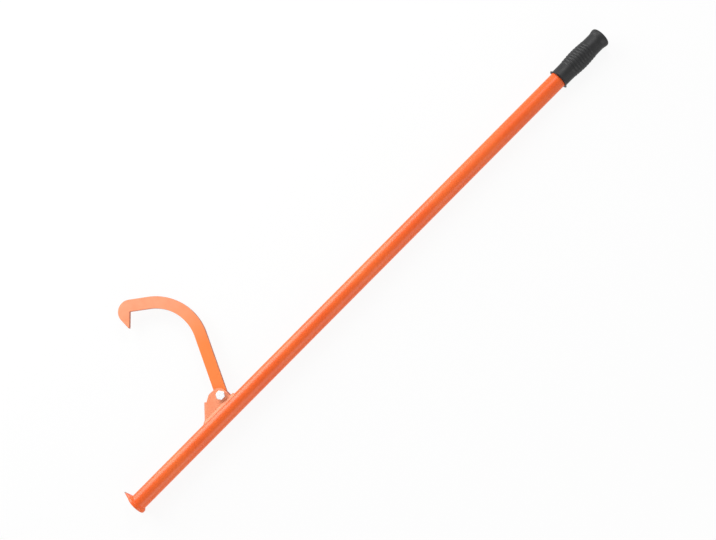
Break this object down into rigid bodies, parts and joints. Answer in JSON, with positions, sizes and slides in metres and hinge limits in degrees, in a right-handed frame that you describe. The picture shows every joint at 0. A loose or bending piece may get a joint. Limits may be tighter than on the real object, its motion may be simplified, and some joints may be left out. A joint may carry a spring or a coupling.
{
  "type": "log lifter",
  "caption": "Steel-tube log lifter with a swinging hook on a welded pivot bracket, a toothed toe plate and a ribbed rubber grip.",
  "frame": {"origin": "middle of the toe plate's outer face, on the handle tube's axis", "axes": "+X runs up the handle from the toe face to the grip, +Y points from the handle to the hook's side, +Z runs along the pivot bolt to its head"},
  "size_m": [1.22, 0.3153, 0.0425],
  "materials": {
    "orange_paint": "satin powder coat",
    "bright_zinc": "bright zinc plate",
    "white_nylon": "moulded",
    "black_rubber": "satin"
  },
  "bodies": {
    "handle": {"handle_tube": "orange_paint", "toe_plate": "orange_paint", "toe_weld": "orange_paint", "pivot_bracket": "orange_paint", "bracket_weld": "orange_paint", "pivot_bolt": "bright_zinc", "nut_washer": "bright_zinc", "lock_nut": "bright_zinc", "nut_insert": "white_nylon", "grip": "black_rubber"},
    "hook": {"hook": "orange_paint"}
  },
  "joints": [
    {"name": "hook_swing", "type": "hinge", "parent": "handle", "child": "hook", "pos_m": [0.255, 0.03, 0], "axis": [0, 0, 1], "range_deg": [-67.2, 71]}
  ]
}
